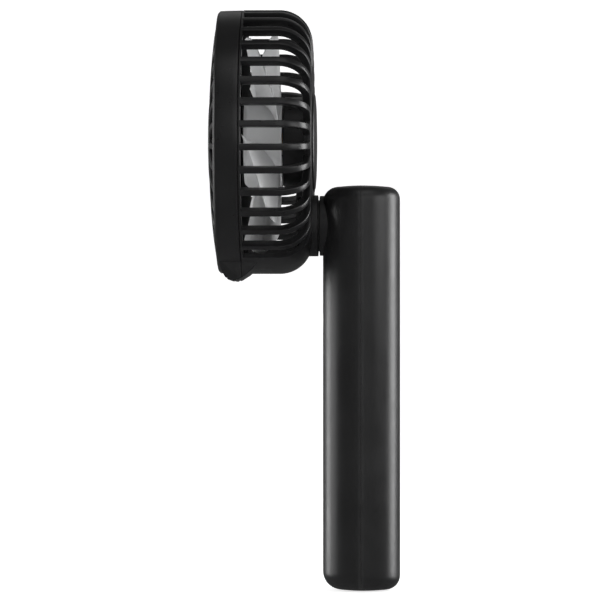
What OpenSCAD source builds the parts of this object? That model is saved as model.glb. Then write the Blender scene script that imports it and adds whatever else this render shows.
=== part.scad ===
// Handheld fan that doubles as a desk fan: a round caged head on an upright battery handle.
// The head turns on a flat disc swivel, so the handle can hang below it, lie beside it as a
// stand, or fold away behind it. +Z is up, the fan blows along -Y, the origin is at the
// bottom of the handle. All sizes are in millimetres.

/* [Handle] */
// height of the handle
handle_h = 145.2; // [130:0.1:160]
// depth of the handle, front to back
handle_d = 27.6; // [24:0.1:32]
// width of the handle, side to side
handle_w = 35.4; // [27.8:0.1:38]
// thickness of the moulded handle shells
shell_t = 1.8; // [1.4:0.1:2.4]
// height of the power button's centre
button_z = 97; // [90:1:104]
// radius of the power button
button_r = 5.3; // [4:0.1:6]

/* [Swivel] */
// height of the swivel's axis
swivel_z = 130.9; // [126:0.1:134]
// radius of the swivel disc on the handle
disc_r = 10.8; // [9:0.1:12]
// radius of the hollow axle
axle_r = 4; // [3:0.1:5]

/* [Head] */
// height of the fan's axis
head_z = 161; // [158:0.1:165]
// outer radius of the cage
cage_r = 47.5; // [44:0.1:50]
// rounding of the cage's rear corner
corner_r = 11.7; // [8:0.1:14]
// number of ribs round the cage
rib_count = 36; // [24:2:48]
// width of one rib
rib_w = 2.3; // [1.6:0.1:3]
// radial thickness of one rib
rib_t = 2.8; // [1.6:0.1:3.4]
// depth of the front grille's dome
dome_d = 5.6; // [3:0.1:8]

/* [Fan] */
// number of blades
blade_count = 5; // [3:1:9]
// radius at the blade tips
blade_r = 40; // [32:0.1:41]
// radius of the hub
hub_r = 16.2; // [15:0.1:18]
// thickness of one blade
blade_t = 1.3; // [0.8:0.1:2]

/* [Hidden] */
$fn = 96;
eps = 0.01;
hd = handle_d / 2;
hw = handle_w / 2;
front_y = -51;                     // front edge of the ring
seam_y = -42.65;                   // joint between front cover and cage
slot_y = -41.65;                   // where the cage's slots begin
back_y = -17.6;                    // flat back of the cage
corner_y = back_y - corner_r;
face_y = -54.5;                    // middle of the domed grille
groove_y = -15.3;                  // gap between the two swivel discs
lug_z = 111;                       // flat underside of the foot
hub_front = -42;
hub_back = -28.4;
board_y = -9.3;                    // front face of the control board
cell_y = 2.2;                      // centre of the battery cell
screws = [12, 113];                // heights of the two handle screws
end_r = [5.7, 4.9];                // rounding of the handle's bottom and top
end_rise = 0.5;                    // how far the ends bulge at the middle

// ---- helpers ----

// puts a body drawn about Z onto an axis along Y at height h, so that Z becomes Y
module on_y(h) translate([0, 0, h]) rotate([-90, 0, 0]) children();

// tube from a to b along Z, with bore ri (0 for none)
module tube(ro, ri, a, b) {
    difference() {
        translate([0, 0, a]) cylinder(r = ro, h = b - a);
        if (ri > 0) translate([0, 0, a - 1]) cylinder(r = ri, h = b - a + 2);
    }
}

// block given by its two corners
module block(p, q) translate(p) cube([q[0] - p[0], q[1] - p[1], q[2] - p[2]]);

// half section of the handle, inset by i: rounded at both ends, which rise a little to the middle
module handle_section(i) {
    rt = end_r[1] - i;
    rb = end_r[0] - i;
    z0 = i + end_rise;
    z1 = handle_h - i - end_rise;
    translate([0, z0]) square([hd - i - rb, rb + 1]);
    translate([0, z1 - rt - 1]) square([hd - i - rt, rt + 1]);
    translate([0, z0 + rb]) square([hd - i, z1 - z0 - rt - rb]);
    translate([hd - i - rb, z0 + rb]) circle(r = rb);
    translate([hd - i - rt, z1 - rt]) circle(r = rt);
    polygon([[0, i], [hd - i - rb, z0], [0, z0 + 1]]);
    polygon([[0, handle_h - i], [hd - i - rt, z1], [0, z1 - 1]]);
}

// solid of the whole handle, inset by i: two round halves either side of a narrow flat
module handle_body(i) {
    for (s = [0, 180]) rotate([0, 0, s]) translate([hw - hd, 0, 0])
        rotate_extrude(angle = 180, start = -90) handle_section(i);
    translate([-(hw - hd), 0, 0]) rotate([90, 0, 90]) linear_extrude(height = 2 * (hw - hd)) {
        handle_section(i);
        mirror([1, 0]) handle_section(i);
    }
}

// the part of the handle's body between y0 and y1
module handle_slice(i, y0, y1) {
    intersection() {
        handle_body(i);
        block([-30, y0, -5], [30, y1, 200]);
    }
}

module slot_outline(w, h) {
    square([w - h, h], center = true);
    for (s = [-1, 1]) translate([s * (w - h) / 2, 0]) circle(d = h);
}

// ---- handle ----

module handle_front_shell() {
    color([0.06, 0.06, 0.065])
    difference() {
        union() {
            difference() {
                union() {
                    handle_slice(0, -20, -0.1);
                    handle_slice(1, -0.6, 1.2);
                }
                handle_body(shell_t);
            }
            // swivel disc and its inner boss
            on_y(swivel_z) tube(disc_r, 0, groove_y + 0.25, -11);
            on_y(swivel_z) tube(9, 0, -12, -9.6);
            // screw bosses
            for (z = screws) intersection() {
                on_y(z) tube(2.3, 0, -20, -0.3);
                handle_body(0.9);
            }
        }
        on_y(swivel_z) tube(axle_r + 0.06, 0, -20, 0);
        for (z = screws) on_y(z) tube(1.02, 0, -8.2, 3);
        // button opening and its seat
        on_y(button_z) tube(button_r + 0.15, 0, -20, -8);
        on_y(button_z) tube(button_r + 1.5, 0, -11.95, -8);
        // indicator holes
        for (i = [0 : 3]) on_y(button_z - 11 - 3 * i) tube(0.68, 0, -20, -8);
        // charging port
        translate([0, -6.45, -2]) linear_extrude(height = 6) slot_outline(9.5, 3.8);
    }
}

module handle_rear_shell() {
    color([0.06, 0.06, 0.065])
    difference() {
        union() {
            difference() {
                handle_slice(0, 0.1, 20);
                handle_body(shell_t);
                handle_slice(0.93, -1, 1.35);
            }
            // cradle plates above and below the battery
            for (z = [15.6, 87.4]) {
                intersection() {
                    handle_body(shell_t + 0.2);
                    block([-20, -6.3, z], [20, 12.5, z + 1.6]);
                }
                intersection() {
                    handle_body(0.9);
                    block([-20, 1.6, z], [20, 20, z + 1.6]);
                }
            }
            for (z = screws) intersection() {
                on_y(z) tube(3, 0, 0.3, 20);
                handle_body(0.9);
            }
        }
        for (z = screws) on_y(z) {
            tube(1.15, 0, -1, 20);
            tube(2.15, 0, 10.4, 20);
        }
    }
}

module handle_screws() {
    color([0.55, 0.55, 0.57])
    for (z = screws) on_y(z) difference() {
        union() {
            tube(1, 0, -8, 10.5);
            tube(2, 0, 10.45, 11.85);
        }
        for (a = [0, 90]) rotate([0, 0, a]) translate([-1.1, -0.22, 11.15]) cube([2.2, 0.44, 2]);
    }
}

module battery_cell() {
    color([0.10, 0.34, 0.62])
    translate([0, cell_y, 19.2]) difference() {
        union() {
            cylinder(r = 9.15, h = 64.6);
            translate([0, 0, 64]) cylinder(r = 2.9, h = 1.4);
        }
        translate([0, 0, 60.5]) rotate_extrude() translate([9.6, 0]) circle(r = 0.9);
    }
}

module battery_end_pads() {
    color([0.18, 0.18, 0.17])
    translate([0, cell_y, 0]) {
        tube(8.6, 0, 17.3, 18.9);
        tube(8.6, 3.2, 83.85, 84.6);
        tube(8.6, 0, 84.95, 87.3);
    }
}

module battery_tabs() {
    color([0.70, 0.70, 0.68])
    for (z = [18.95, 84.68]) block([-2.2, board_y + 1.3, z], [2.2, cell_y + 3, z + 0.2]);
}

module control_board() {
    color([0.05, 0.28, 0.16])
    difference() {
        union() {
            block([-8.6, board_y, 19], [8.6, board_y + 1.2, 106]);
            block([-5.4, board_y, 3.3], [5.4, board_y + 1.2, 19.5]);
        }
        on_y(screws[0]) tube(2.6, 0, board_y - 1, board_y + 2);
        for (z = [24, 103]) on_y(z) translate([6.6, 0, 0]) tube(1, 0, board_y - 1, board_y + 2);
    }
}

module control_chip() {
    color([0.05, 0.05, 0.055])
    block([-4.5, board_y - 1.2, 45], [3.5, board_y - 0.01, 53]);
}

module power_inductor() {
    color([0.15, 0.15, 0.16])
    difference() {
        block([-3.2, board_y - 1.95, 60], [3.2, board_y - 0.01, 66.4]);
        on_y(63.2) tube(2.3, 0, board_y - 2.5, board_y - 1.7);
    }
}

module lead_connector() {
    color([0.85, 0.84, 0.78])
    difference() {
        block([-3.4, board_y + 1.21, 97], [3.4, board_y + 4.8, 104]);
        block([-2.6, board_y + 2, 99], [2.6, board_y + 4.1, 105]);
    }
}

module usb_c_socket() {
    color([0.72, 0.73, 0.75])
    translate([0, -6.45, 0.7]) {
        difference() {
            linear_extrude(height = 7.3) slot_outline(8.94, 3.26);
            translate([0, 0, -1]) linear_extrude(height = 7) slot_outline(8.34, 2.66);
        }
        block([-3.35, -0.35, 1.5], [3.35, 0.35, 6.5]);
    }
}

module power_switch() {
    color([0.10, 0.10, 0.11])
    difference() {
        block([-2.6, board_y - 1.4, button_z - 2.6], [2.6, board_y - 0.01, button_z + 2.6]);
        on_y(button_z) tube(1.16, 0, board_y - 3, board_y - 0.15);
    }
}

module indicator_leds() {
    color([0.92, 0.90, 0.80])
    for (i = [0 : 3]) translate([-0.8, board_y - 0.6, button_z - 11 - 3 * i - 0.4]) cube([1.6, 0.59, 0.8]);
}

module indicator_light_guide() {
    color([0.90, 0.92, 0.94])
    union() {
        block([-1.7, -11.85, button_z - 21.6], [1.7, -10.9, button_z - 9.4]);
        for (i = [0 : 3]) on_y(button_z - 11 - 3 * i) tube(0.6, 0, -13.7, -11);
    }
}

module power_button() {
    color([0.10, 0.10, 0.105])
    union() {
        intersection() {
            on_y(button_z) tube(button_r, 0, -20, -11.6);
            handle_body(0.12);
        }
        on_y(button_z) tube(button_r + 1, 0, -11.85, -11.3);
    }
}

module switch_plunger() {
    color([0.75, 0.75, 0.72])
    on_y(button_z) tube(1.1, 0, -11.25, -10);
}

// ---- swivel ----

module swivel_axle() {
    color([0.62, 0.63, 0.65])
    on_y(swivel_z) {
        difference() {
            union() {
                tube(axle_r, 0, -19.2, -3.4);
                tube(6.3, 0, -20.3, -18.95);
            }
            tube(2.3, 0, -30, 0);
        }
    }
}

module swivel_spacer() {
    color([0.80, 0.80, 0.78])
    on_y(swivel_z) tube(9.2, axle_r + 0.1, groove_y - 0.2, groove_y + 0.2);
}

module swivel_flat_washer() {
    color([0.66, 0.67, 0.69])
    on_y(swivel_z) tube(7.9, axle_r + 0.1, -9.55, -8.75);
}

module swivel_spring_washer() {
    color([0.58, 0.59, 0.62])
    on_y(swivel_z) rotate_extrude()
        polygon([[axle_r + 0.1, -7.95], [7.4, -8.7], [7.4, -8.3], [axle_r + 0.1, -7.55]]);
}

module swivel_nut() {
    color([0.62, 0.63, 0.65])
    on_y(swivel_z) difference() {
        translate([0, 0, -7.5]) cylinder(r = 6.6, h = 3.1, $fn = 6);
        tube(axle_r + 0.02, 0, -9, 0);
    }
}

// ---- foot under the head ----

// foot from y0 to y1, outside the cage's surface
module foot(y0, y1, ri) {
    difference() {
        intersection() {
            translate([-30, 0, 0]) rotate([90, 0, 90]) linear_extrude(height = 60)
                polygon([[-50.3, 122], [-50.3, 118], [-49.6, 114.6], [-48.5, 112.3],
                    [-47.5, 111.35], [-46.4, lug_z], [-44.4, lug_z], [-43.3, 111.5],
                    [-40.9, 113.1], [-38.4, 115.2], [-35.6, 118.6], [-35.6, 122]]);
            rotate([90, 0, 0]) linear_extrude(height = 60)
                polygon([[-13.5, 110], [13.5, 110], [21, 121], [-21, 121]]);
            block([-30, y0, 100], [30, y1, 130]);
        }
        on_y(head_z) tube(ri, 0, -60, -30);
        // grip grooves
        for (p = [[-48.1, 111.7], [-46.1, lug_z - 0.1], [-44.3, lug_z - 0.05]])
            translate([-30, p[0], p[1]]) rotate([0, 90, 0]) cylinder(r = 0.35, h = 60, $fn = 24);
    }
}

// ---- cage ----

// section of the cage in radius and depth, inset by i
module cage_section(i) {
    translate([0, slot_y - 0.6]) square([cage_r - i, corner_y - slot_y + 0.6]);
    translate([0, corner_y - 1]) square([cage_r - corner_r, corner_r + 1 - i]);
    translate([cage_r - corner_r, corner_y]) circle(r = corner_r - i);
}

// section of the wall between insets a and b, from the rim to the rear plate
module cage_wall(a, b) {
    difference() {
        cage_section(a);
        cage_section(b);
        translate([0, -60]) square([26, 80]);
        translate([0, -60]) square([cage_r - b, slot_y - 0.5 + 60]);
    }
}

module cage_rib() {
    rotate([90, 0, 0]) linear_extrude(height = rib_w, center = true) cage_wall(0, rib_t);
}

module rear_cage() {
    color([0.06, 0.06, 0.065])
    difference() {
        union() {
            on_y(head_z) {
                // rim and the spigot that enters the front cover
                tube(cage_r - 0.1, 43.9, seam_y + 0.15, slot_y);
                tube(45.37, 43.9, -44.9, slot_y - 0.3);
                for (i = [0 : rib_count - 1])
                    if (abs((i + 0.5) * 360 / rib_count - 90) > 26)
                        rotate([0, 0, (i + 0.5) * 360 / rib_count]) cage_rib();
                // closed panel over the swivel and the foot
                rotate_extrude(angle = 55, start = 62.5) cage_wall(0.05, 1.9);
                // rear plate and the cup that carries the motor
                tube(27.5, 14.6, back_y - 2.1, back_y + 0.15);
                tube(hub_r, 14.6, -28, back_y - 1);
                tube(hub_r - 0.5, 0, -28, -26.5);
                tube(5.4, 0, -27, -24.4);
            }
            // swivel disc
            on_y(swivel_z) tube(disc_r + 0.2, 0, -23, groove_y - 0.25);
            // bridge from the swivel disc to the motor cup
            block([-4.4, -23, swivel_z + 6], [4.4, back_y - 0.5, head_z - 15]);
            foot(seam_y + 0.15, -30, 46.6);
        }
        on_y(head_z) {
            tube(43.9, 0, -50, -42);
            tube(3.53, 0, -30, -26);
        }
        on_y(swivel_z) {
            tube(axle_r + 0.03, 0, -30, 0);
            tube(6.4, 0, -25, -18.92);
        }
        // channel for the motor lead, up through the cup's wall
        block([-2.6, -23.1, swivel_z], [2.6, -20.3, head_z - 13]);
    }
}

module lead_channel_cover() {
    color([0.07, 0.07, 0.075])
    union() {
        on_y(swivel_z) tube(7.5, 0, -23.45, -23.02);
        block([-4.4, -23.45, swivel_z], [4.4, -23.02, head_z - 16.5]);
    }
}

module rear_motor_cover() {
    color([0.07, 0.07, 0.075])
    on_y(head_z) {
        rotate_extrude() polygon([[0, -16.1], [8, -16.17], [14, -16.35], [16.8, -16.6],
            [17.6, -17], [17.6, -17.4], [14.5, -17.4], [14.5, -20.4], [13.2, -20.4],
            [13.2, -17.6], [0, -17.6]]);
    }
}

module motor_lead() {
    color([0.65, 0.10, 0.08])
    union() {
        translate([0, -21.65, swivel_z]) cylinder(r = 1.15, h = 20.6);
        on_y(swivel_z) tube(1.15, 0, -21.65, -2);
        translate([0, -21.65, swivel_z]) sphere(r = 1.3);
    }
}

// ---- motor ----

module bearing_tube() {
    color([0.78, 0.62, 0.30])
    on_y(head_z) tube(3.5, 2.53, -38.8, -26.05);
}

module shaft_bearings() {
    color([0.70, 0.71, 0.73])
    on_y(head_z) for (y = [-38.6, -30.2]) tube(2.5, 1.05, y, y + 2.3);
}

module motor_stator() {
    color([0.30, 0.31, 0.33])
    on_y(head_z) difference() {
        tube(11.8, 3.53, -37.2, -31.2);
        for (i = [0 : 8]) rotate([0, 0, i * 40 + 20]) {
            translate([0, 0, -40]) linear_extrude(height = 20)
                polygon([[5.2, -0.75], [10.4, -2.65], [10.4, 2.65], [5.2, 0.75]]);
            translate([9, -0.6, -40]) cube([4, 1.2, 20]);
        }
    }
}

module stator_windings() {
    color([0.72, 0.38, 0.16])
    on_y(head_z) for (i = [0 : 8]) rotate([0, 0, i * 40]) difference() {
        translate([6.1, -1.95, -38]) cube([3.9, 3.9, 7.6]);
        translate([5, -1.3, -37.3]) cube([6, 2.6, 6.2]);
    }
}

module motor_board() {
    color([0.05, 0.28, 0.16])
    on_y(head_z) tube(11.4, 3.56, -29.9, -29.1);
}

// ---- rotor ----

module blade() {
    intersection() {
        // curved sheet tilted across the axis
        translate([0, 0, -34.6]) rotate([26, 0, 0]) translate([0, 0, -47]) rotate([0, 90, 0])
            tube(47 + blade_t / 2, 47 - blade_t / 2, 14, 42);
        translate([0, 0, hub_front + 0.3]) linear_extrude(height = hub_back - hub_front - 0.6)
            intersection() {
                circle(r = blade_r);
                translate([17, 0]) circle(r = blade_r - 16);
                polygon([[14.8, -5.5], [20, -9.5], [30, -14.5], [42, -19],
                    [42, 19], [30, 14.5], [20, 9.5], [14.8, 5.5]]);
            }
    }
}

module impeller() {
    color([0.62, 0.63, 0.64])
    on_y(head_z) {
        tube(hub_r, 14.63, hub_front + 1.5, hub_back);
        rotate_extrude() polygon([[0, hub_front], [hub_r - 1.2, hub_front],
            [hub_r, hub_front + 1.2], [hub_r, hub_front + 1.6], [0, hub_front + 1.6]]);
        for (i = [0 : blade_count - 1]) rotate([0, 0, 22.4 + i * 360 / blade_count]) blade();
    }
}

module rotor_cup() {
    color([0.50, 0.51, 0.53])
    on_y(head_z) difference() {
        tube(14.6, 0, -40.3, -29);
        tube(13.75, 0, -39.5, -20);
        tube(1.02, 0, -50, -20);
    }
}

module magnet_ring() {
    color([0.16, 0.15, 0.15])
    on_y(head_z) tube(13.72, 12.2, -38.6, -30);
}

module rotor_shaft() {
    color([0.80, 0.81, 0.83])
    on_y(head_z) difference() {
        tube(1, 0, -40.25, -26.6);
        difference() {
            tube(2, 0, -27.35, -27.05);
            tube(0.8, 0, -28, -26);
        }
    }
}

module shaft_clip() {
    color([0.45, 0.46, 0.48])
    on_y(head_z) difference() {
        tube(2.2, 0.82, -27.32, -27.08);
        translate([0, -0.75, -28]) cube([3, 1.5, 2]);
    }
}

// ---- front cover ----

// depth of the dome at radius r
function dome(r) = face_y + dome_d * (1 - sqrt(1 - pow(r / 50, 2)));

module front_cover() {
    color([0.06, 0.06, 0.065])
    union() {
        on_y(head_z) {
            // ring
            rotate_extrude() polygon([[44.4, front_y + 0.7], [45.1, front_y], [46.6, front_y],
                [47.05, front_y + 0.2], [47.23, front_y + 0.7], [47.42, -44.6], [47.42, seam_y],
                [45.45, seam_y], [45.45, -45.05], [44.4, -45.6]]);
            // spokes on the dome
            intersection() {
                rotate_extrude() polygon(concat(
                    [[15.8, dome(15.8)]], [for (r = [18 : 3 : 45]) [r, dome(r)]],
                    [for (r = [45 : -3 : 18]) [r, dome(r) + 1.7]], [[15.8, dome(15.8) + 1.7]]));
                translate([0, 0, -60]) linear_extrude(height = 20)
                    for (i = [0 : rib_count - 1]) rotate((i + 0.5) * 360 / rib_count)
                        polygon([[14.8, -0.6], [44.95, -1.05], [44.95, 1.05], [14.8, 0.6]]);
            }
            tube(16, 0, face_y + 0.45, face_y + 2.3);
        }
        foot(-60, seam_y, 46.6);
    }
}

module centre_cap() {
    color([0.30, 0.31, 0.33])
    on_y(head_z) rotate_extrude() polygon([[0, face_y - 0.35], [8, face_y - 0.3],
        [14, face_y - 0.15], [15.4, face_y], [15.7, face_y + 0.2], [15.7, face_y + 0.44],
        [0, face_y + 0.44]]);
}

handle_front_shell();
handle_rear_shell();
handle_screws();
battery_cell();
battery_end_pads();
battery_tabs();
control_board();
lead_connector();
control_chip();
power_inductor();
usb_c_socket();
power_switch();
indicator_leds();
indicator_light_guide();
power_button();
switch_plunger();
rear_cage();
lead_channel_cover();
swivel_axle();
swivel_spacer();
swivel_flat_washer();
swivel_spring_washer();
swivel_nut();
rear_motor_cover();
motor_lead();
bearing_tube();
shaft_bearings();
motor_stator();
stator_windings();
motor_board();
front_cover();
centre_cap();
impeller();
rotor_cup();
magnet_ring();
rotor_shaft();
shaft_clip();
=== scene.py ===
import math

import bmesh
import bpy
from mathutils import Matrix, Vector


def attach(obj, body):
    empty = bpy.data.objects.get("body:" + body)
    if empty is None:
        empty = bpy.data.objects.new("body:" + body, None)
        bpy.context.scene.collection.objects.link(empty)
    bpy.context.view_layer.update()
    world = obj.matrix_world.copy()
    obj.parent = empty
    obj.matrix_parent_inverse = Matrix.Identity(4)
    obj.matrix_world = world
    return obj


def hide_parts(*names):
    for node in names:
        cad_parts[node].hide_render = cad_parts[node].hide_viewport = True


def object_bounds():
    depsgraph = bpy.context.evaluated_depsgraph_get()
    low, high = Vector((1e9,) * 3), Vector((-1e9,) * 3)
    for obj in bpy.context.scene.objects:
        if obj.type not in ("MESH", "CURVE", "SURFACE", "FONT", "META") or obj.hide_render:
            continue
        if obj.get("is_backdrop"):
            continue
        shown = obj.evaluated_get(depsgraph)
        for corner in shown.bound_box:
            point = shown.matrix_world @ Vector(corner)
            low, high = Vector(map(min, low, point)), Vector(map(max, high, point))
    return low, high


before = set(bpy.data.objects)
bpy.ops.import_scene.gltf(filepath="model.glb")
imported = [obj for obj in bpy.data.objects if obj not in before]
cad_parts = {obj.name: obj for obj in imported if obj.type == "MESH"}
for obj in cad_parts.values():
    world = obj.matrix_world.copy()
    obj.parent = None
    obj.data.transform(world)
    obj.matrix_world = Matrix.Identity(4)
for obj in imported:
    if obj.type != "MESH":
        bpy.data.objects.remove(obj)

cad_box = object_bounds()
scene = bpy.context.scene
MM = 0.001
TAU = 2 * math.pi

# Sizes in millimetres. Z is the height from the bottom of the handle, and Y runs from the front to
# the rear. They follow the CAD, but RING_Y stands 0.3 further forward, as the photograph shows it.
HEAD_Z, SWIVEL_Z, BUTTON_Z = 161.0, 130.9, 97.0
CAGE_R, CORNER_R, BACK_Y = 47.5, 11.7, -17.6
CORNER_Y = BACK_Y - CORNER_R
SLOT_Y, SEAM_Y, RING_Y, FACE_Y = -41.65, -42.65, -51.3, -54.5
RIBS, BLADES = 36, 5
PANEL = 27.5                       # half the angle of the cage's closed panel, in degrees


# ---------------------------------------------------------------- shapes

def fillet(points, radius, steps=4):
    """Rounds the corners of a closed outline; radius is one number or one per corner."""
    out = []
    count = len(points)
    for i, p in enumerate(points):
        r = radius[i] if isinstance(radius, (list, tuple)) else radius
        a, b = points[i - 1], points[(i + 1) % count]
        v1 = (a[0] - p[0], a[1] - p[1])
        v2 = (b[0] - p[0], b[1] - p[1])
        l1, l2 = math.hypot(*v1), math.hypot(*v2)
        if r <= 0 or l1 < 1e-6 or l2 < 1e-6:
            out.append(p)
            continue
        u1, u2 = (v1[0] / l1, v1[1] / l1), (v2[0] / l2, v2[1] / l2)
        angle = math.acos(max(-1, min(1, u1[0] * u2[0] + u1[1] * u2[1])))
        if angle > math.radians(174):
            out.append(p)
            continue
        t = min(r / math.tan(angle / 2), 0.48 * l1, 0.48 * l2)
        rr = t * math.tan(angle / 2)
        bis = (u1[0] + u2[0], u1[1] + u2[1])
        n = math.hypot(*bis)
        reach = rr / math.sin(angle / 2) / n
        c = (p[0] + bis[0] * reach, p[1] + bis[1] * reach)
        s = (p[0] + u1[0] * t - c[0], p[1] + u1[1] * t - c[1])
        e = (p[0] + u2[0] * t - c[0], p[1] + u2[1] * t - c[1])
        a0 = math.atan2(s[1], s[0])
        turn = math.atan2(s[0] * e[1] - s[1] * e[0], s[0] * e[0] + s[1] * e[1])
        for k in range(steps + 1):
            w = a0 + turn * k / steps
            out.append((c[0] + rr * math.cos(w), c[1] + rr * math.sin(w)))
    return out


class Geo:
    """Collects faces in millimetres and makes them into one object."""

    def __init__(self):
        self.v, self.f = [], []

    def add(self, verts, faces):
        base = len(self.v)
        self.v += verts
        self.f += [tuple(base + i for i in f) for f in faces]
        return self

    def grid(self, rows, close_u=False, close_v=False, caps=False):
        n, m = len(rows), len(rows[0])
        faces = []
        for i in range(n if close_u else n - 1):
            for j in range(m if close_v else m - 1):
                faces.append((i * m + j, ((i + 1) % n) * m + j,
                              ((i + 1) % n) * m + (j + 1) % m, i * m + (j + 1) % m))
        if caps:
            faces.append(tuple(range(m)))
            faces.append(tuple((n - 1) * m + j for j in reversed(range(m))))
        return self.add([p for r in rows for p in r], faces)

    def lathe(self, profile, cz=HEAD_Z, seg=288):
        """Turns a closed outline of (radius, y) about an axis along Y at height cz."""
        rows = [[(r * math.cos(a), y, cz + r * math.sin(a)) for r, y in profile]
                for a in (TAU * k / seg for k in range(seg))]
        return self.grid(rows, close_u=True, close_v=True)

    def arc(self, profile, a0, a1, cz=HEAD_Z, seg=48):
        """Turns a closed outline of (radius, y) through part of a circle, with closed ends."""
        rows = [[(r * math.cos(a), y, cz + r * math.sin(a)) for r, y in profile]
                for a in (math.radians(a0 + (a1 - a0) * k / seg) for k in range(seg + 1))]
        return self.grid(rows, close_v=True, caps=True)

    def sweep_radial(self, path, section, angle, cz=HEAD_Z):
        """Sweeps a section along a path of (radius, y) in the plane at an angle round the fan's axis.
        section(t) gives points (across, up) at t from 0 to 1 along the path; up is its outer side."""
        ca, sa = math.cos(angle), math.sin(angle)
        rows = []
        n = len(path)
        for k, (r, y) in enumerate(path):
            r0, y0 = path[max(0, k - 1)]
            r1, y1 = path[min(n - 1, k + 1)]
            length = math.hypot(r1 - r0, y1 - y0)
            nr, ny = (y1 - y0) / length, (r0 - r1) / length
            row = []
            for w, u in section(k / (n - 1)):
                rr, yy = r + nr * u, y + ny * u
                row.append((rr * ca - w * sa, yy, cz + rr * sa + w * ca))
            rows.append(row)
        return self.grid(rows, close_v=True, caps=True)

    def prism(self, outline, axis, a, b):
        """Extrudes a closed outline along an axis from a to b."""
        def at(p, t):
            return {"x": (t, p[0], p[1]), "y": (p[0], t, p[1]), "z": (p[0], p[1], t)}[axis]
        ends = [[at(p, t) for p in outline] for t in (a, b)]
        return self.grid(ends, close_v=True, caps=True)

    def make(self, name, sharp=38, bevel=None, segments=2, weld=1e-6):
        mesh = bpy.data.meshes.new(name)
        mesh.from_pydata([(x * MM, y * MM, z * MM) for x, y, z in self.v], [], self.f)
        bm = bmesh.new()
        bm.from_mesh(mesh)
        bmesh.ops.remove_doubles(bm, verts=bm.verts, dist=weld)
        bmesh.ops.dissolve_degenerate(bm, edges=bm.edges, dist=1e-7)
        bmesh.ops.recalc_face_normals(bm, faces=bm.faces)
        bm.to_mesh(mesh)
        bm.free()
        obj = bpy.data.objects.new(name, mesh)
        scene.collection.objects.link(obj)
        if bevel:
            bevelled(obj, bevel, segments, sharp)
        smooth(obj, sharp)
        return obj


def smooth(obj, angle=38):
    obj.data.shade_smooth()
    obj.data.set_sharp_from_angle(angle=math.radians(angle))


def bevelled(obj, width, segments=2, angle=38):
    mod = obj.modifiers.new("edges", "BEVEL")
    mod.width = width * MM
    mod.segments = segments
    mod.limit_method = "ANGLE"
    mod.angle_limit = math.radians(angle)
    mod.use_clamp_overlap = True
    applied(obj)


def applied(obj):
    """Replaces the object's mesh with the result of its modifiers."""
    graph = bpy.context.evaluated_depsgraph_get()
    graph.update()
    mesh = bpy.data.meshes.new_from_object(obj.evaluated_get(graph))
    obj.modifiers.clear()
    old = obj.data
    obj.data = mesh
    bpy.data.meshes.remove(old)


def cut(obj, tools, how="DIFFERENCE"):
    for tool in tools:
        mod = obj.modifiers.new("cut", "BOOLEAN")
        mod.operation = how
        mod.solver = "EXACT"
        mod.object = tool
    applied(obj)
    for tool in tools:
        mesh = tool.data
        bpy.data.objects.remove(tool)
        bpy.data.meshes.remove(mesh)


def circle(u, v, r, seg):
    return [(u + r * math.cos(TAU * k / seg), v + r * math.sin(TAU * k / seg)) for k in range(seg)]


def rod(r, a, b, cz, seg=48):
    """A round cutter along Y from a to b."""
    return Geo().prism(circle(0, cz, r, seg), "y", a, b).make("tool")


def slot_rod(width, depth, y, a, b):
    """A cutter along Z from a to b, with two straight sides and two round ends."""
    r = depth / 2
    outline = []
    for side, start in ((1, -90), (-1, 90)):
        for k in range(13):
            w = math.radians(start + 180 * k / 12)
            outline.append((side * (width / 2 - r) + r * math.cos(w), y + r * math.sin(w)))
    return Geo().prism(outline, "z", a, b).make("tool")


def disc(name, inner, outer, front, rear, edges):
    """A flat disc of the swivel, with a hole through it and rounded outer edges."""
    outline = [(inner, front), (outer, front), (outer, rear), (inner, rear)]
    return Geo().lathe(fillet(outline, [0, *edges, 0], 5), SWIVEL_Z, 192).make(name, 30)


# ---------------------------------------------------------------- materials

BLOTCHES, CLOUDS, SCUFFS = 55.0, 210.0, 900.0      # noise cells in a metre
GRAIN_DEPTH, WAVE_DEPTH = 0.00004, 0.0002          # metres
WAVE_STRENGTH = 0.12


def nodes_of(name):
    mat = bpy.data.materials.new(name)
    mat.use_nodes = True
    tree = mat.node_tree
    return mat, tree, tree.nodes["Principled BSDF"]


def noise(tree, coords, scale, detail=3.0, rough=0.5):
    n = tree.nodes.new("ShaderNodeTexNoise")
    n.inputs["Scale"].default_value = scale
    n.inputs["Detail"].default_value = detail
    n.inputs["Roughness"].default_value = rough
    tree.links.new(coords, n.inputs["Vector"])
    return n.outputs["Fac"]


def spread(tree, value, low, high, from_low=0.3, from_high=0.7):
    """Maps a value between from_low and from_high to one between low and high."""
    n = tree.nodes.new("ShaderNodeMapRange")
    n.inputs["From Min"].default_value = from_low
    n.inputs["From Max"].default_value = from_high
    n.inputs["To Min"].default_value = low
    n.inputs["To Max"].default_value = high
    tree.links.new(value, n.inputs["Value"])
    return n.outputs["Result"]


def maths(tree, a, b, how="ADD"):
    n = tree.nodes.new("ShaderNodeMath")
    n.operation = how
    tree.links.new(a, n.inputs[0])
    if isinstance(b, (int, float)):
        n.inputs[1].default_value = b
    else:
        tree.links.new(b, n.inputs[1])
    return n.outputs[0]


def mixed(tree, factor, a, b):
    n = tree.nodes.new("ShaderNodeMix")
    n.data_type = "RGBA"
    tree.links.new(factor, n.inputs[0])
    for socket, c in ((n.inputs[6], a), (n.inputs[7], b)):
        if isinstance(c, tuple):
            socket.default_value = (*c, 1.0)
        else:
            tree.links.new(c, socket)
    return n.outputs[2]


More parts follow.
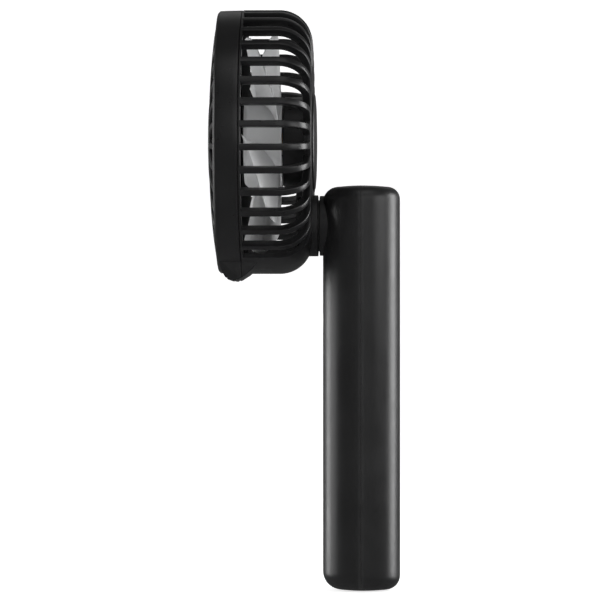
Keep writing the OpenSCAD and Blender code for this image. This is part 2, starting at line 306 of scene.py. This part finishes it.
def moulded(name, colour, rough=0.4, vary=0.05, grain=0.25, grain_size=0.35, tone=0.18,
            wear=0.35, worn=None, metallic=0.0, stretch=None, subsurface=0.0):
    """Moulded or machined surface: fine grain in the bump, blotches of tone and sheen about 18 and 5 mm
    across, small scuffs with more sheen, and paler worn corners. grain_size is in millimetres."""
    mat, tree, shader = nodes_of(name)
    coords = tree.nodes.new("ShaderNodeTexCoord").outputs["Object"]
    coords_fine = coords
    if stretch:
        grain_map = tree.nodes.new("ShaderNodeMapping")
        grain_map.inputs["Scale"].default_value = stretch
        tree.links.new(coords, grain_map.inputs["Vector"])
        coords_fine = grain_map.outputs["Vector"]
    fine = noise(tree, coords_fine, 1.0 / (grain_size * MM), 2.0, 0.6)
    blot = noise(tree, coords, BLOTCHES, 4.0, 0.55)
    cloud = noise(tree, coords, CLOUDS, 3.0, 0.5)
    scuff_map = tree.nodes.new("ShaderNodeMapping")
    scuff_map.inputs["Scale"].default_value = (0.35, 0.35, 1.0)
    scuff_map.inputs["Rotation"].default_value = (0.5, 0.9, 0.3)
    tree.links.new(coords, scuff_map.inputs["Vector"])
    scuff = noise(tree, scuff_map.outputs["Vector"], SCUFFS, 1.0, 0.4)
    dark = tuple(c * (1 - tone) for c in colour)
    light = tuple(min(1, c * (1 + tone)) for c in colour)
    base = mixed(tree, spread(tree, blot, 0, 1), dark, light)
    if wear:
        geo = tree.nodes.new("ShaderNodeNewGeometry")
        edge = spread(tree, geo.outputs["Pointiness"], 0.0, 1.0, 0.53, 0.60)
        edge = maths(tree, edge, spread(tree, cloud, 0.25, 1.0), "MULTIPLY")
        edge = maths(tree, edge, wear, "MULTIPLY")
        worn = worn or tuple(min(1, c * 1.5 + 0.02) for c in colour)
        base = mixed(tree, edge, base, worn)
    tree.links.new(base, shader.inputs["Base Color"])
    level = spread(tree, blot, rough - vary, rough + vary)
    level = maths(tree, level, spread(tree, cloud, -vary * 0.4, vary * 0.4))
    level = maths(tree, level, spread(tree, scuff, 0.0, -vary * 1.2, 0.62, 0.72))
    tree.links.new(level, shader.inputs["Roughness"])
    bump = tree.nodes.new("ShaderNodeBump")
    bump.inputs["Strength"].default_value = grain
    bump.inputs["Distance"].default_value = GRAIN_DEPTH
    tree.links.new(fine, bump.inputs["Height"])
    wave = tree.nodes.new("ShaderNodeBump")
    wave.inputs["Strength"].default_value = WAVE_STRENGTH
    wave.inputs["Distance"].default_value = WAVE_DEPTH
    tree.links.new(blot, wave.inputs["Height"])
    tree.links.new(bump.outputs["Normal"], wave.inputs["Normal"])
    tree.links.new(wave.outputs["Normal"], shader.inputs["Normal"])
    shader.inputs["Metallic"].default_value = metallic
    if subsurface:
        shader.inputs["Subsurface Weight"].default_value = subsurface
        shader.inputs["Subsurface Radius"].default_value = (1.0, 1.0, 1.0)
        shader.inputs["Subsurface Scale"].default_value = 0.002
    return mat


BLACK = moulded("black_satin_plastic", (0.0125, 0.0125, 0.0130), rough=0.36, vary=0.035, grain=0.35,
                grain_size=0.30)
CAGE = moulded("black_cage_plastic", (0.0085, 0.0085, 0.0090), rough=0.33, vary=0.04, grain=0.22,
               grain_size=0.40)
GRILLE = moulded("black_grille_plastic", (0.0085, 0.0085, 0.0090), rough=0.33, vary=0.04, grain=0.25,
                 grain_size=0.34)
DISC = moulded("black_swivel_disc", (0.0075, 0.0075, 0.0080), rough=0.50, vary=0.04, grain=0.4,
               grain_size=0.3)
INNER = moulded("black_motor_housing", (0.0080, 0.0080, 0.0085), rough=0.45, vary=0.04, grain=0.25,
                grain_size=0.4)
BLADE = moulded("grey_blade_plastic", (0.70, 0.705, 0.71), rough=0.42, vary=0.05, grain=0.15, tone=0.04,
                wear=0.25, worn=(0.8, 0.8, 0.8), subsurface=0.25)
CAP = moulded("smoked_cap", (0.020, 0.020, 0.021), rough=0.22, vary=0.03, grain=0.1, grain_size=0.5)
BUTTON = moulded("button_plastic", (0.016, 0.016, 0.0165), rough=0.30, vary=0.03, grain=0.2)
LENS = moulded("frosted_light_guide", (0.62, 0.64, 0.66), rough=0.3, vary=0.05, grain=0.15, wear=0.0,
               subsurface=0.4)
STEEL = moulded("zinc_plated_steel", (0.55, 0.55, 0.56), rough=0.32, vary=0.06, metallic=1.0, grain=0.3,
                wear=0.4, worn=(0.75, 0.75, 0.75), stretch=(1, 1, 0.08))
BLACKENED = moulded("blackened_screw_steel", (0.10, 0.10, 0.105), rough=0.38, vary=0.05, metallic=1.0,
                    grain=0.3, wear=0.5, worn=(0.35, 0.35, 0.36))
TIN = moulded("tin_plated_shell", (0.62, 0.62, 0.63), rough=0.28, vary=0.06, metallic=1.0, grain=0.2,
              wear=0.3, worn=(0.8, 0.8, 0.8))
NICKEL = moulded("nickel_strip", (0.60, 0.58, 0.54), rough=0.30, vary=0.05, metallic=1.0, grain=0.2,
                 wear=0.0)
BRASS = moulded("brass_tube", (0.60, 0.42, 0.16), rough=0.30, vary=0.05, metallic=1.0, grain=0.2,
                wear=0.3, worn=(0.8, 0.6, 0.3))
COPPER = moulded("enamelled_copper", (0.50, 0.20, 0.07), rough=0.28, vary=0.05, metallic=0.85,
                 grain=0.6, grain_size=0.25, wear=0.0, stretch=(1, 6, 1))
LAMINATION = moulded("silicon_steel_stack", (0.20, 0.20, 0.215), rough=0.38, vary=0.06, metallic=1.0,
                     grain=0.8, grain_size=0.5, wear=0.3, worn=(0.4, 0.4, 0.4), stretch=(0.1, 5, 0.1))
FERRITE = moulded("bonded_magnet", (0.045, 0.043, 0.042), rough=0.55, vary=0.06, grain=0.6,
                  grain_size=0.2)
BOARD = moulded("green_circuit_board", (0.010, 0.085, 0.040), rough=0.30, vary=0.05, grain=0.3,
                grain_size=0.6, tone=0.25, wear=0.5, worn=(0.28, 0.30, 0.16))
CHIP = moulded("moulded_chip", (0.018, 0.018, 0.019), rough=0.50, vary=0.04, grain=0.6, grain_size=0.18)
NYLON = moulded("natural_nylon", (0.62, 0.60, 0.54), rough=0.42, vary=0.05, grain=0.2, subsurface=0.2)
SLEEVE = moulded("battery_sleeve", (0.030, 0.105, 0.240), rough=0.24, vary=0.04, grain=0.12,
                 grain_size=1.0, tone=0.08, wear=0.15)
FOAM = moulded("eva_foam_pad", (0.030, 0.030, 0.031), rough=0.75, vary=0.05, grain=1.0, grain_size=0.22)
LEAD = moulded("red_lead_insulation", (0.36, 0.020, 0.016), rough=0.36, vary=0.05, grain=0.2)

NODE_MATERIALS = {
    "handle_screws": BLACKENED, "battery_cell": SLEEVE, "battery_end_pads": FOAM, "battery_tabs": NICKEL,
    "control_board": BOARD, "lead_connector": NYLON, "control_chip": CHIP, "power_inductor": FERRITE,
    "usb_c_socket": TIN, "power_switch": CHIP, "indicator_leds": NYLON, "indicator_light_guide": LENS,
    "switch_plunger": NYLON, "swivel_axle": STEEL, "swivel_spacer": CHIP, "swivel_flat_washer": STEEL,
    "swivel_spring_washer": STEEL, "swivel_nut": STEEL, "motor_lead": LEAD, "bearing_tube": BRASS,
    "shaft_bearings": STEEL, "motor_stator": LAMINATION, "stator_windings": COPPER, "motor_board": BOARD,
    "rotor_cup": STEEL, "magnet_ring": FERRITE, "rotor_shaft": TIN, "shaft_clip": STEEL,
}
for node, mat in NODE_MATERIALS.items():
    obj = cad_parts[node]
    if not obj.material_slots:
        obj.data.materials.append(mat)
    for s in obj.material_slots:
        s.material = mat


def piece(obj, body, mat, *stands_for):
    """Finishes an object as a piece that rides on a body, and stands for CAD nodes if any are named."""
    obj.data.materials.clear()
    obj.data.materials.append(mat)
    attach(obj, body)
    if stands_for:
        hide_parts(*stands_for)


# ---------------------------------------------------------------- handle

HANDLE_H, HANDLE_R, HALF_FLAT = 145.2, 13.8, 3.9   # height, radius of the rounded section, half of its flat
SHELL_T, END_RISE = 1.8, 0.5
HALF_SEAM = 0.04                   # the two shells stand this far from the joint between them
SCREWS = (12, 113)
SCREW_SEAT_Y = 10.4
LIGHTS, LIGHT_STEP = 4, 3
FIRST_LIGHT = 11                   # how far the first light is below the button
FRONT = (-20, -8)                  # depth that the holes in the handle's front are cut through


def handle_profile(lean):
    """Outline of one column of the handle, from the middle of its bottom, up its side, to the middle
    of its top: (distance from the axis, z). lean is -1 at the very front and 1 at the very rear,
    where the ends are rounded less."""
    low_r, top_r = 5.7 - 0.8 * lean, 4.85 - 0.55 * lean
    low_z, top_z = END_RISE + low_r, HANDLE_H - END_RISE - top_r
    turns = [math.pi / 2 * k / 12 for k in range(1, 13)]
    profile = [((HANDLE_R - low_r) * k / 8, END_RISE * (k / 8) ** 2) for k in range(9)]
    profile += [(HANDLE_R - low_r + low_r * math.sin(w), low_z - low_r * math.cos(w)) for w in turns]
    profile += [(HANDLE_R, low_z + (top_z - low_z) * k / 64) for k in range(1, 65)]
    profile += [(HANDLE_R - top_r + top_r * math.cos(w), top_z + top_r * math.sin(w)) for w in turns]
    profile += [((HANDLE_R - top_r) * k / 8, HANDLE_H - END_RISE * (k / 8) ** 2) for k in range(7, -1, -1)]
    return profile


def handle_half(front):
    """One shell of the handle. Its columns run from seam to seam round half the section: a quarter
    turn, the flat, and a quarter turn about the other centre."""
    start, side = (math.pi, -HALF_FLAT) if front else (0.0, HALF_FLAT)
    turns = [start + math.pi * k / 64 for k in range(65)]
    columns = [(side, a) for a in turns[:33]]
    columns += [(side * (1 - k / 2), turns[32]) for k in range(1, 5)]
    columns += [(-side, a) for a in turns[33:]]
    offset = -HALF_SEAM if front else HALF_SEAM
    squeeze = 1 - HALF_SEAM / HANDLE_R
    rows = [[(x + d * math.cos(a), d * math.sin(a) * squeeze + offset, z)
             for d, z in handle_profile(math.sin(a))] for x, a in columns]
    obj = Geo().grid(rows).make("half", weld=2e-5)
    bm = bmesh.new()
    bm.from_mesh(obj.data)
    middle = Vector((0, 0, HANDLE_H / 2 * MM))
    if sum(f.normal.dot(f.calc_center_median() - middle) for f in bm.faces) < 0:
        bmesh.ops.reverse_faces(bm, faces=bm.faces)
        bm.to_mesh(obj.data)
    bm.free()
    mod = obj.modifiers.new("wall", "SOLIDIFY")
    mod.thickness = SHELL_T * MM
    mod.offset = -1
    mod.use_even_offset = False
    applied(obj)
    return obj


def shell(name, front, tools, node):
    obj = handle_half(front)
    obj.name = name
    cut(obj, tools)
    bevelled(obj, 0.14, 3, 50)
    smooth(obj, 45)
    piece(obj, "handle", BLACK, node)


button_and_axle = [rod(5.45, *FRONT, BUTTON_Z, seg=72), rod(4.2, *FRONT, SWIVEL_Z)]
light_holes = [rod(0.68, *FRONT, BUTTON_Z - FIRST_LIGHT - LIGHT_STEP * i, seg=24) for i in range(LIGHTS)]
socket_slot = slot_rod(9.5, 3.8, -6.45, -2, 6)
shell("handle_front", True, button_and_axle + light_holes + [socket_slot], "handle_front_shell")
shell("handle_rear", False, [rod(2.15, SCREW_SEAT_Y, 20, z, seg=40) for z in SCREWS], "handle_rear_shell")

piece(disc("handle_swivel_disc", 4.1, 10.8, -15.05, -10.5, (0.3, 0)), "handle", DISC)

# seats under the screw heads, so that the recesses have a floor
for n, z in enumerate(SCREWS):
    seat = [(1.15, SCREW_SEAT_Y - 1), (3.0, SCREW_SEAT_Y - 1), (3.0, SCREW_SEAT_Y), (1.15, SCREW_SEAT_Y)]
    piece(Geo().lathe(fillet(seat, 0.1, 2), z, 40).make(f"screw_seat_{n}"), "handle", BLACK)

button_outline = fillet(
    [(0, -13.35), (3.4, -13.42), (4.6, -13.62), (5.3, -13.62), (5.3, -11.7), (6.3, -11.7), (6.3, -11.3),
     (0, -11.3)],
    [0, 1.5, 0.5, 0.25, 0, 0.1, 0.1, 0], 5)
button = Geo().lathe(button_outline, BUTTON_Z, 96).make("button_cap", 30)
piece(button, "button", BUTTON, "power_button")


# ---------------------------------------------------------------- cage

SKIN = 0.09                        # how far the rim and the closed panel lie inside the ribs
WALL_T = 1.9                       # thickness of the closed panel
RIB_HALF, RIB_T = 1.15, 2.8
RIB_START = SLOT_Y - 0.5           # the ribs and the panel start inside the rim
RIM_IN, SPIGOT_R = 43.9, 45.37
PLATE_Y = BACK_Y - 2.1             # inner face of the back plate
CHANNEL_Y = -23.0                  # inner face of the swivel and its bridge
CHANNEL_HALF, LID_R = 4.4, 7.5


def rounded_bar(half, top, bottom, r_top, r_bottom):
    outline = [(-half, bottom), (half, bottom), (half, top), (-half, top)]
    return fillet(outline, [r_bottom, r_bottom, r_top, r_top], 3)


def cage_side(inset):
    """Side of the cage at a depth inside its outside, from the rim to the corner: (radius, y)."""
    return [(CAGE_R - inset, RIB_START + (CORNER_Y - RIB_START) * k / 8) for k in range(8)]


def cage_corner(inset):
    """Rounded corner between the side and the back."""
    r = CORNER_R - inset
    return [(CAGE_R - CORNER_R + r * math.cos(w), CORNER_Y + r * math.sin(w))
            for w in (math.pi / 2 * k / 28 for k in range(29))]


cage = Geo()
# rim with its joint edge, and the spigot inside the front cover
cage.lathe(fillet([(RIM_IN, SEAM_Y + 0.15), (CAGE_R - SKIN, SEAM_Y + 0.15), (CAGE_R - SKIN, SLOT_Y),
                   (RIM_IN, SLOT_Y)], [0, 0.22, 0.3, 0.3], 4), seg=360)
cage.lathe(fillet([(RIM_IN, -44.9), (SPIGOT_R, -44.9), (SPIGOT_R, -41.9), (RIM_IN, -41.9)],
                  [0.2, 0.3, 0, 0], 3))
# ribs
rib_path = cage_side(0) + cage_corner(0) + [(r, BACK_Y) for r in (34, 31.5, 29, 26)]
rib_bar = rounded_bar(RIB_HALF, 0.0, -RIB_T, 0.32, 0.3)
for i in range(RIBS):
    if abs((i + 0.5) * 360 / RIBS - 270) > PANEL:
        cage.sweep_radial(rib_path, lambda t: rib_bar, TAU * (i + 0.5) / RIBS)
# closed panel over the swivel and the foot
panel = cage_side(SKIN) + cage_corner(SKIN) + [(26, BACK_Y - SKIN), (26, BACK_Y - WALL_T)]
panel += cage_corner(WALL_T)[::-1] + [(CAGE_R - WALL_T, RIB_START)]
cage.arc(panel, 270 - PANEL, 270 + PANEL, seg=96)
piece(cage.make("cage", 30), "head", CAGE, "rear_cage")

# back plate with its step for the motor cover, and the motor cup
back = Geo()
back.lathe(fillet([(14.6, PLATE_Y), (27.5, PLATE_Y), (27.5, BACK_Y + 0.15), (18.2, BACK_Y + 0.15),
                   (18.0, BACK_Y - 0.35), (14.6, BACK_Y - 0.35)], [0, 0.5, 0.45, 0.2, 0, 0], 5), seg=216)
back.lathe(fillet([(4, -28.0), (16.2, -28.0), (16.2, -18.6), (4, -18.6)], [0, 0.6, 0, 0], 4), seg=192)
piece(back.make("motor_mount", 30), "head", CAGE)

# swivel disc, with the bridge up to the motor cup and the lid over the lead's channel
piece(disc("head_swivel_disc", 4.05, 11.0, CHANNEL_Y, -15.55, (0.5, 0.3)), "head", DISC)
bridge_z = (SWIVEL_Z + 6, HEAD_Z - 14.5)
bridge_outline = [(-CHANNEL_HALF, bridge_z[0]), (CHANNEL_HALF, bridge_z[0]), (CHANNEL_HALF, bridge_z[1]),
                  (-CHANNEL_HALF, bridge_z[1])]
bridge = Geo().prism(fillet(bridge_outline, 0.1, 2), "y", CHANNEL_Y, BACK_Y - 0.5)
piece(bridge.make("swivel_bridge", 30, 0.4, 3), "head", CAGE)
lid_arc = [(LID_R * math.cos(math.radians(a)), SWIVEL_Z + LID_R * math.sin(math.radians(a)))
           for a in range(126, 415, 6)]
lid_outline = [(-CHANNEL_HALF, HEAD_Z - 16.6), *lid_arc, (CHANNEL_HALF, HEAD_Z - 16.6)]
lid = Geo().prism(lid_outline, "y", CHANNEL_Y - 0.45, CHANNEL_Y - 0.02)
piece(lid.make("lead_channel_lid", 30, 0.15, 2), "head", INNER, "lead_channel_cover")

cover = fillet([(0, -16.1), (8, -16.17), (14, -16.35), (16.8, -16.6), (17.6, -17.0), (17.6, -17.4),
                (0, -17.4)], [0, 4, 4, 1.2, 0.4, 0.15, 0], 5)
piece(Geo().lathe(cover, seg=192).make("motor_cover", 30), "head", BLACK, "rear_motor_cover")


# ---------------------------------------------------------------- front cover

DOME_D, DOME_R = 5.6, 50           # the grille's face is the cap of an ellipsoid
SPOKE_IN, SPOKE_OUT = 15.2, 45.0


def dome(r):
    return FACE_Y + DOME_D * (1 - math.sqrt(1 - (r / DOME_R) ** 2))


def spoke_section(t):
    """Spokes grow wider from the centre out."""
    return rounded_bar(0.6 + 0.45 * t, 0.0, -1.7, 0.35, 0.2)


ring = fillet(
    [(44.4, RING_Y + 0.7), (45.1, RING_Y), (46.45, RING_Y), (47.2, RING_Y + 0.75), (47.3, -47.6),
     (47.38, -44.6), (47.38, SEAM_Y), (45.45, SEAM_Y), (45.45, -45.05), (44.4, -45.6)],
    [0.6, 0.5, 0.25, 0.4, 2.5, 0.5, 0.22, 0.1, 0.1, 0.2], 5)
piece(Geo().lathe(ring, seg=360).make("front_ring", 24), "front_grille", GRILLE, "front_cover")

spokes = Geo()
spoke_radii = [SPOKE_IN + (SPOKE_OUT - SPOKE_IN) * k / 20 for k in range(21)]
spoke_path = [(r, dome(r)) for r in spoke_radii]
for i in range(RIBS):
    spokes.sweep_radial(spoke_path, spoke_section, TAU * (i + 0.5) / RIBS)
spokes.lathe(fillet([(0, FACE_Y + 0.45), (16, FACE_Y + 0.45), (16, FACE_Y + 2.3), (0, FACE_Y + 2.3)],
                    [0, 0.3, 0.4, 0], 4), seg=144)
piece(spokes.make("front_spokes", 30), "front_grille", GRILLE)

cap = fillet([(0, FACE_Y - 0.35), (8, FACE_Y - 0.3), (14, FACE_Y - 0.15), (15.4, FACE_Y),
              (15.7, FACE_Y + 0.2), (15.7, FACE_Y + 0.44), (0, FACE_Y + 0.44)],
             [0, 4, 3, 0.6, 0.3, 0.1, 0], 5)
piece(Geo().lathe(cap, seg=144).make("cap", 30), "front_grille", CAP, "centre_cap")


# ---------------------------------------------------------------- foot

FOOT = [(-50.3, 122), (-50.3, 118), (-49.6, 114.6), (-48.5, 112.3), (-47.5, 111.35), (-46.4, 111),
        (-44.4, 111), (-43.3, 111.5), (-40.9, 113.1), (-38.4, 115.2), (-35.6, 118.6), (-35.6, 122)]
FOOT_ROUND = [0, 2, 3, 2, 1, 0.8, 0.8, 1, 2, 2, 0, 0]
FOOT_FRONT, FOOT_REAR = -60, -30   # both lie beyond the outline
PAST = 30                          # more than half of the foot's width
RING_IN = 46.6                     # the foot is hollowed to this radius, inside the ring's skin
GROOVES = ((-49.55, 113.3), (-48.1, 111.7), (-46.1, 110.9), (-44.3, 110.95))
GROOVE_R = 0.45


def foot(name, y0, y1):
    """The part of the foot between y0 and y1, with narrowing sides and grip grooves under it."""
    body = Geo().prism(fillet(FOOT, FOOT_ROUND, 4), "x", -PAST, PAST).make(name)
    sides = [(-13.5, 110), (13.5, 110), (21, 121), (-21, 121)]
    span = [(-PAST, 100), (PAST, 100), (PAST, 130), (-PAST, 130)]
    cut(body, [Geo().prism(sides, "y", FOOT_FRONT, FOOT_REAR).make("tool"),
               Geo().prism(span, "y", y0, y1).make("tool")], "INTERSECT")
    grooves = [Geo().prism(circle(y, z, GROOVE_R, 16), "x", -PAST, PAST).make("tool") for y, z in GROOVES]
    cut(body, [rod(RING_IN, FOOT_FRONT, FOOT_REAR, HEAD_Z, seg=288)] + grooves)
    bevelled(body, 0.45, 3, 40)
    smooth(body, 35)
    return body


piece(foot("foot_front", FOOT_FRONT, SEAM_Y), "front_grille", GRILLE)
piece(foot("foot_rear", SEAM_Y + 0.15, FOOT_REAR), "head", CAGE)


# ---------------------------------------------------------------- impeller

# (degrees round the axis, y) of four points along the blade's chord, at its tip and at its root
TIP = [(1.3, -41.7), (-18.5, -36.7), (-35.8, -33.6), (-52.0, -29.9)]
ROOT = [(-3.8, -37.6), (-16.0, -34.5), (-35.0, -31.2), (-54.0, -29.0)]
TIP_R, ROOT_R = 39.9, 15.6
HUB_R, HUB_FRONT, HUB_BACK = 16.2, -42.0, -28.2
HUB_IN, HUB_WALL_Y = 14.63, -40.4  # inside of the hub's skirt, and the inner face of its front
SPAN_STEPS, CHORD_STEPS = 18, 20


def along(points, t):
    """Smooth curve through four points, at t from 0 to 1 by their own spacing."""
    knots = [0.0]
    for a, b in zip(points, points[1:]):
        knots.append(knots[-1] + math.hypot(a[0] - b[0], 3 * (a[1] - b[1])))
    knots = [k / knots[-1] for k in knots]
    weights = [math.prod((t - other) / (own - other) for other in knots if other != own) for own in knots]
    return [sum(w * p[d] for w, p in zip(weights, points)) for d in (0, 1)]


def blade_point(s, c):
    """Middle of the blade: s runs from root to tip, c along the chord."""
    tip, root = along(TIP, c), along(ROOT, c)
    blend = s ** 1.15
    theta, y = (low + (high - low) * blend for low, high in zip(root, tip))
    end_r = TIP_R - 2.4 * abs(2 * c - 1) ** 7            # the tip's two corners are rounded
    return ROOT_R + (end_r - ROOT_R) * s, math.radians(theta), y


def blade_row(s, turn):
    """Closed section of the blade at s: along one face and back along the other."""
    mids = [blade_point(s, b / CHORD_STEPS) for b in range(CHORD_STEPS + 1)]
    thick = (1.25 - 0.35 * s) * (0.35 if s == 1.0 else 1)
    faces = []
    for side in (1, -1):
        face = []
        for b, (r, theta, y) in enumerate(mids):
            _, t0, y0 = mids[max(0, b - 1)]
            _, t1, y1 = mids[min(CHORD_STEPS, b + 1)]
            across, deep = (t1 - t0) * r, y1 - y0
            length = math.hypot(across, deep)
            half = thick / 2 * (1 - abs(2 * b / CHORD_STEPS - 1) ** 6) ** 0.5 * side
            angle = theta - deep / length * half / r + turn
            face.append((r * math.cos(angle), y + across / length * half, HEAD_Z + r * math.sin(angle)))
        faces.append(face)
    return faces[0] + faces[1][::-1]


fan = Geo()
for i in range(BLADES):
    turn = TAU * i / BLADES
    fan.grid([blade_row(k / SPAN_STEPS, turn) for k in range(SPAN_STEPS + 1)], close_v=True, caps=True)
fan.lathe(fillet([(0, HUB_FRONT), (HUB_R - 1.2, HUB_FRONT), (HUB_R, HUB_FRONT + 1.2), (HUB_R, HUB_BACK),
                  (HUB_IN, HUB_BACK), (HUB_IN, HUB_WALL_Y), (0, HUB_WALL_Y)],
                 [0, 0.8, 0.8, 0.3, 0.2, 0, 0], 5), seg=168)
piece(fan.make("fan_blades", 42), "rotor", BLADE, "impeller")


# ---------------------------------------------------------------- floor, light and camera

# In metres. The floor and the wall glow, so the ground is an even white from every side. The wall
# lights nothing else, so the black parts stay black.
FLOOR_HALF, FLOOR_NEAR = 4.0, 1.5
FLOOR_BEND, WALL_BEND, BEND_R = 1.2, 1.45, 0.8
FLOOR_TOP, WALL_TOP, WALL_LIFT = 3.0, 3.4, 0.002
PAPER, GLOW = (0.9, 0.9, 0.9), 0.75


def paper(obj, name):
    mat, tree, shader = nodes_of(name)
    coords = tree.nodes.new("ShaderNodeTexCoord").outputs["Object"]
    colour = mixed(tree, noise(tree, coords, 6.0), tuple(v * 0.985 for v in PAPER), PAPER)
    tree.links.new(colour, shader.inputs["Base Color"])
    shader.inputs["Roughness"].default_value = 0.9
    shader.inputs["Emission Color"].default_value = (1, 1, 1, 1)
    shader.inputs["Emission Strength"].default_value = GLOW
    obj.data.materials.append(mat)
    obj.visible_glossy = False


def curve_up(start, top):
    """Outline of a flat floor that turns up into a wall: (distance, height)."""
    turns = [math.pi / 2 * k / 20 for k in range(21)]
    points = [(start + BEND_R * math.sin(w), BEND_R - BEND_R * math.cos(w)) for w in turns]
    return points + [(start + BEND_R, top)]


def in_mm(*metres):
    return tuple(v / MM for v in metres)


outline = [(-FLOOR_NEAR, 0.0), (0.0, 0.0)] + curve_up(FLOOR_BEND, FLOOR_TOP)
floor = Geo().grid([[in_mm(-d, w, z) for w in (-FLOOR_HALF, FLOOR_HALF)] for d, z in outline])
floor = floor.make("floor", 60)
paper(floor, "floor_paper")
floor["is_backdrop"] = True

rows = [[in_mm(x, y, z + WALL_LIFT) for x, y in circle(0, 0, d, 96)]
        for d, z in curve_up(WALL_BEND, WALL_TOP)]
wall = Geo().grid(rows, close_v=True).make("wall", 60)
paper(wall, "wall_paper")
wall.visible_diffuse = False
wall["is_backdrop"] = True

world = bpy.data.worlds.new("studio")
world.use_nodes = True
background = world.node_tree.nodes["Background"]
background.inputs["Color"].default_value = (1, 1, 1, 1)
background.inputs["Strength"].default_value = 0.10
scene.world = world


def softbox(name, angle, distance, height, width, tall, watts, aim=(0, -0.01, 0.11)):
    """Soft light at an angle and a distance from the point it is aimed at. Its height is over the floor."""
    light = bpy.data.lights.new(name, "AREA")
    light.shape = "RECTANGLE"
    light.size, light.size_y = width, tall
    light.energy = watts
    obj = bpy.data.objects.new(name, light)
    a = math.radians(angle)
    obj.location = (aim[0] + distance * math.cos(a), aim[1] + distance * math.sin(a), height)
    obj.rotation_euler = (obj.location - Vector(aim)).to_track_quat("Z", "Y").to_euler()
    obj.visible_camera = False
    scene.collection.objects.link(obj)


softbox("softbox_right", 108, 0.85, 0.22, 0.36, 0.62, 5.1)
softbox("softbox_side", 56, 0.85, 0.40, 0.60, 0.30, 0.5)
softbox("softbox_near", 60, 0.36, 0.176, 0.20, 0.12, 0.15, aim=(0, -0.03, 0.160))
softbox("softbox_side_left", -90, 0.85, 0.20, 0.22, 0.62, 1.25)
softbox("softbox_back", 176, 1.15, 0.95, 0.90, 0.40, 0.4)
softbox("softbox_left", -116, 0.85, 0.16, 0.24, 0.62, 3.1)
softbox("softbox_top", 20, 0.50, 1.00, 0.60, 0.60, 0.9)
softbox("softbox_front", 12, 1.60, 0.60, 0.90, 0.90, 2.2)

# The camera stands on the X side, a little towards the rear and below level. In metres and degrees.
VIEW_ROUND, VIEW_UP, VIEW_DISTANCE = 1.75, -0.7, 1.376
VIEW_SIDE = 0.216                  # what the picture's side spans at the target
TARGET = Vector((0.0, -0.02218, 0.1042))
SENSOR = 36                        # millimetres
az, el = math.radians(VIEW_ROUND), math.radians(VIEW_UP)
cam_data = bpy.data.cameras.new("camera")
cam_data.sensor_width = SENSOR
cam_data.lens = SENSOR * VIEW_DISTANCE / VIEW_SIDE
cam_data.clip_start = 0.05
cam_data.clip_end = 50
cam = bpy.data.objects.new("camera", cam_data)
away = Vector((math.cos(el) * math.cos(az), math.cos(el) * math.sin(az), math.sin(el)))
cam.location = TARGET + VIEW_DISTANCE * away
cam.rotation_euler = (math.pi / 2 - el, 0, math.pi / 2 + az)
scene.collection.objects.link(cam)
scene.camera = cam
scene.view_settings.view_transform = "Standard"

def plain(v):
    return [plain(x) for x in v] if hasattr(v, "__len__") else float(v)
{"cad": plain(cad_box), "visual": plain(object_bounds())}
